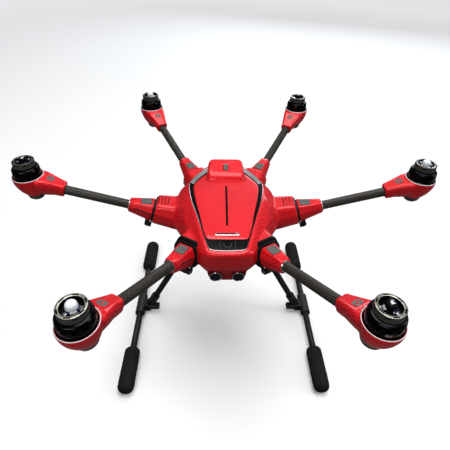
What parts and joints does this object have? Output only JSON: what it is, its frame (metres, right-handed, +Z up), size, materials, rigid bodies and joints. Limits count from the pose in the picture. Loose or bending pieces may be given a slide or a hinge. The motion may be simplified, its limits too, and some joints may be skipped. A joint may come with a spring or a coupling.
{
  "type": "hexacopter drone",
  "caption": "Folding-arm camera hexacopter with carbon tubes, open motors and retractable landing skids, standing on foam pads.",
  "frame": {"origin": "on the ground under the centre of the motor circle", "axes": "+Z up, -Y towards the nose, +X to the right in a front view"},
  "size_m": [0.5166, 0.4522, 0.31],
  "materials": {
    "red_weave": "glossy red woven carbon wrap",
    "gloss_black": "gloss black moulding",
    "carbon": "woven carbon tube",
    "grey_button": "dark grey satin",
    "motor_black": "black anodised",
    "foam": "closed-cell foam",
    "matte_black": "matte black moulding",
    "steel": "plain steel",
    "board_green": "coated circuit board"
  },
  "bodies": {
    "fuselage": {"top_shell": "red_weave", "bottom_shell": "red_weave", "trim_band": "gloss_black", "top_panel": "red_weave", "gps_cover": "red_weave", "arm_end_plates": "matte_black", "hinge_pins": "steel", "circuit_boards": "board_green", "sonar_housing": "red_weave", "sonar_sensors": "steel", "camera_dock": "matte_black", "leg_brackets": "matte_black", "belly_screws": "steel"},
    "power_button": {"power_button": "gloss_black"},
    "battery": {"battery": "matte_black"},
    "battery_latch": {"battery_latch": "grey_button"},
    "right_arm": {"right_arm_clamp": "red_weave", "right_arm_tube": "carbon", "right_motor_pod": "red_weave", "right_motor_base": "motor_black"},
    "right_rotor": {"right_rotor": "motor_black"},
    "right_release_button": {"right_release_button": "grey_button"},
    "rear_right_arm": {"rear_right_arm_clamp": "red_weave", "rear_right_arm_tube": "carbon", "rear_right_motor_pod": "red_weave", "rear_right_motor_base": "motor_black"},
    "rear_right_rotor": {"rear_right_rotor": "motor_black"},
    "rear_right_release_button": {"rear_right_release_button": "grey_button"},
    "rear_left_arm": {"rear_left_arm_clamp": "red_weave", "rear_left_arm_tube": "carbon", "rear_left_motor_pod": "red_weave", "rear_left_motor_base": "motor_black"},
    "rear_left_rotor": {"rear_left_rotor": "motor_black"},
    "rear_left_release_button": {"rear_left_release_button": "grey_button"},
    "left_arm": {"left_arm_clamp": "red_weave", "left_arm_tube": "carbon", "left_motor_pod": "red_weave", "left_motor_base": "motor_black"},
    "left_rotor": {"left_rotor": "motor_black"},
    "left_release_button": {"left_release_button": "grey_button"},
    "front_left_arm": {"front_left_arm_clamp": "red_weave", "front_left_arm_tube": "carbon", "front_left_motor_pod": "red_weave", "front_left_motor_base": "motor_black"},
    "front_left_rotor": {"front_left_rotor": "motor_black"},
    "front_left_release_button": {"front_left_release_button": "grey_button"},
    "front_right_arm": {"front_right_arm_clamp": "red_weave", "front_right_arm_tube": "carbon", "front_right_motor_pod": "red_weave", "front_right_motor_base": "motor_black"},
    "front_right_rotor": {"front_right_rotor": "motor_black"},
    "front_right_release_button": {"front_right_release_button": "grey_button"},
    "left_leg": {"left_leg_strut": "carbon", "left_leg_fittings": "matte_black", "left_skid_tube": "matte_black", "left_foam_pads": "foam"},
    "right_leg": {"right_leg_strut": "carbon", "right_leg_fittings": "matte_black", "right_skid_tube": "matte_black", "right_foam_pads": "foam"}
  },
  "joints": [
    {"name": "power_press", "type": "slide", "parent": "fuselage", "child": "power_button", "axis": [0, 0, -1], "range_m": [0, 0.001], "stiffness_N_per_m": 400},
    {"name": "latch_press", "type": "slide", "parent": "fuselage", "child": "battery_latch", "axis": [0, 0, -1], "range_m": [0, 0.0012], "stiffness_N_per_m": 400},
    {"name": "battery_slide", "type": "slide", "parent": "fuselage", "child": "battery", "axis": [0, 1, 0], "range_m": [0, 0.11]},
    {"name": "right_arm_fold", "type": "hinge", "parent": "fuselage", "child": "right_arm", "pos_m": [0.10297, 0, 0.21741], "axis": [0, -1, 0], "range_deg": [-90, 0]},
    {"name": "right_rotor_spin", "type": "hinge", "parent": "right_arm", "child": "right_rotor", "pos_m": [0.24, 0, 0.285], "axis": [0, 0, 1], "continuous": true},
    {"name": "right_button_press", "type": "slide", "parent": "right_arm", "child": "right_release_button", "axis": [0.2823, 0, -0.9593], "range_m": [0, 0.0015], "stiffness_N_per_m": 400},
    {"name": "rear_right_arm_fold", "type": "hinge", "parent": "fuselage", "child": "rear_right_arm", "pos_m": [0.05148, 0.08917, 0.21741], "axis": [0.866, -0.5, 0], "range_deg": [-90, 0]},
    {"name": "rear_right_rotor_spin", "type": "hinge", "parent": "rear_right_arm", "child": "rear_right_rotor", "pos_m": [0.12, 0.20785, 0.285], "axis": [0, 0, 1], "continuous": true},
    {"name": "rear_right_button_press", "type": "slide", "parent": "rear_right_arm", "child": "rear_right_release_button", "axis": [0.1412, 0.2445, -0.9593], "range_m": [0, 0.0015], "stiffness_N_per_m": 400},
    {"name": "rear_left_arm_fold", "type": "hinge", "parent": "fuselage", "child": "rear_left_arm", "pos_m": [-0.05148, 0.08917, 0.21741], "axis": [0.866, 0.5, 0], "range_deg": [-90, 0]},
    {"name": "rear_left_rotor_spin", "type": "hinge", "parent": "rear_left_arm", "child": "rear_left_rotor", "pos_m": [-0.12, 0.20785, 0.285], "axis": [0, 0, 1], "continuous": true},
    {"name": "rear_left_button_press", "type": "slide", "parent": "rear_left_arm", "child": "rear_left_release_button", "axis": [-0.1412, 0.2445, -0.9593], "range_m": [0, 0.0015], "stiffness_N_per_m": 400},
    {"name": "left_arm_fold", "type": "hinge", "parent": "fuselage", "child": "left_arm", "pos_m": [-0.10297, 0, 0.21741], "axis": [0, 1, 0], "range_deg": [-90, 0]},
    {"name": "left_rotor_spin", "type": "hinge", "parent": "left_arm", "child": "left_rotor", "pos_m": [-0.24, 0, 0.285], "axis": [0, 0, 1], "continuous": true},
    {"name": "left_button_press", "type": "slide", "parent": "left_arm", "child": "left_release_button", "axis": [-0.2823, 0, -0.9593], "range_m": [0, 0.0015], "stiffness_N_per_m": 400},
    {"name": "front_left_arm_fold", "type": "hinge", "parent": "fuselage", "child": "front_left_arm", "pos_m": [-0.05148, -0.08917, 0.21741], "axis": [-0.866, 0.5, 0], "range_deg": [-90, 0]},
    {"name": "front_left_rotor_spin", "type": "hinge", "parent": "front_left_arm", "child": "front_left_rotor", "pos_m": [-0.12, -0.20785, 0.285], "axis": [0, 0, 1], "continuous": true},
    {"name": "front_left_button_press", "type": "slide", "parent": "front_left_arm", "child": "front_left_release_button", "axis": [-0.1412, -0.2445, -0.9593], "range_m": [0, 0.0015], "stiffness_N_per_m": 400},
    {"name": "front_right_arm_fold", "type": "hinge", "parent": "fuselage", "child": "front_right_arm", "pos_m": [0.05148, -0.08917, 0.21741], "axis": [-0.866, -0.5, 0], "range_deg": [-90, 0]},
    {"name": "front_right_rotor_spin", "type": "hinge", "parent": "front_right_arm", "child": "front_right_rotor", "pos_m": [0.12, -0.20785, 0.285], "axis": [0, 0, 1], "continuous": true},
    {"name": "front_right_button_press", "type": "slide", "parent": "front_right_arm", "child": "front_right_release_button", "axis": [0.1412, -0.2445, -0.9593], "range_m": [0, 0.0015], "stiffness_N_per_m": 400},
    {"name": "left_leg_raise", "type": "hinge", "parent": "fuselage", "child": "left_leg", "pos_m": [-0.036, 0.021, 0.18], "axis": [0, 1, 0], "range_deg": [0, 65]},
    {"name": "right_leg_raise", "type": "hinge", "parent": "fuselage", "child": "right_leg", "pos_m": [0.036, 0.021, 0.18], "axis": [0, -1, 0], "range_deg": [0, 65]}
  ]
}
